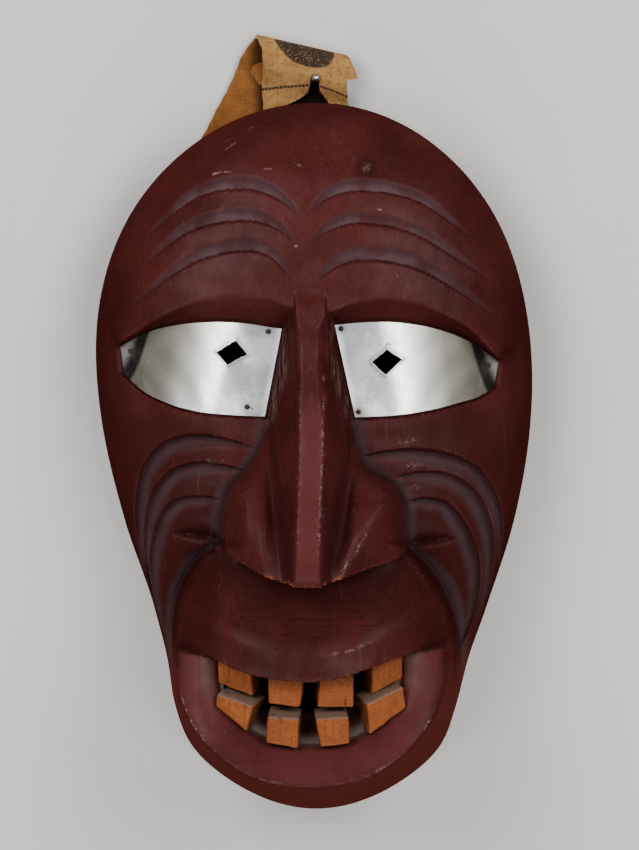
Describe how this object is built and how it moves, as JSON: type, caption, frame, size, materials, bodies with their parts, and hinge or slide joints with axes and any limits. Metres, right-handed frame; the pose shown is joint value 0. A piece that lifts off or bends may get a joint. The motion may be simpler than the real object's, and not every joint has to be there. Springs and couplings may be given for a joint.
{
  "type": "carved wooden face mask",
  "caption": "Carved and painted wooden face mask, hollow behind, with sheet-metal eyes, carved teeth and a folded hide hanging strap.",
  "frame": {"origin": "under the middle of the whole object, strap included, on the surface that the back rim lies on", "axes": "+Z out of the face, +Y towards the crown and the strap, +X towards the viewer's right when facing the mask"},
  "size_m": [0.1792, 0.314, 0.1118],
  "materials": {
    "painted_wood": "dark red paint over carved wood, worn satin",
    "sheet_metal": "thin bright sheet metal, lightly scratched",
    "nail_iron": "small dull iron nails",
    "hide": "tan hide with a darker flesh side",
    "pin_steel": "bright round pin head"
  },
  "bodies": {
    "root": {"mask": "painted_wood", "left_eye_plate": "sheet_metal", "right_eye_plate": "sheet_metal", "left_plate_nail_1": "nail_iron", "left_plate_nail_2": "nail_iron", "left_plate_nail_3": "nail_iron", "right_plate_nail_1": "nail_iron", "right_plate_nail_2": "nail_iron", "right_plate_nail_3": "nail_iron", "hide_strap": "hide", "strap_pin": "pin_steel"}
  },
  "joints": []
}
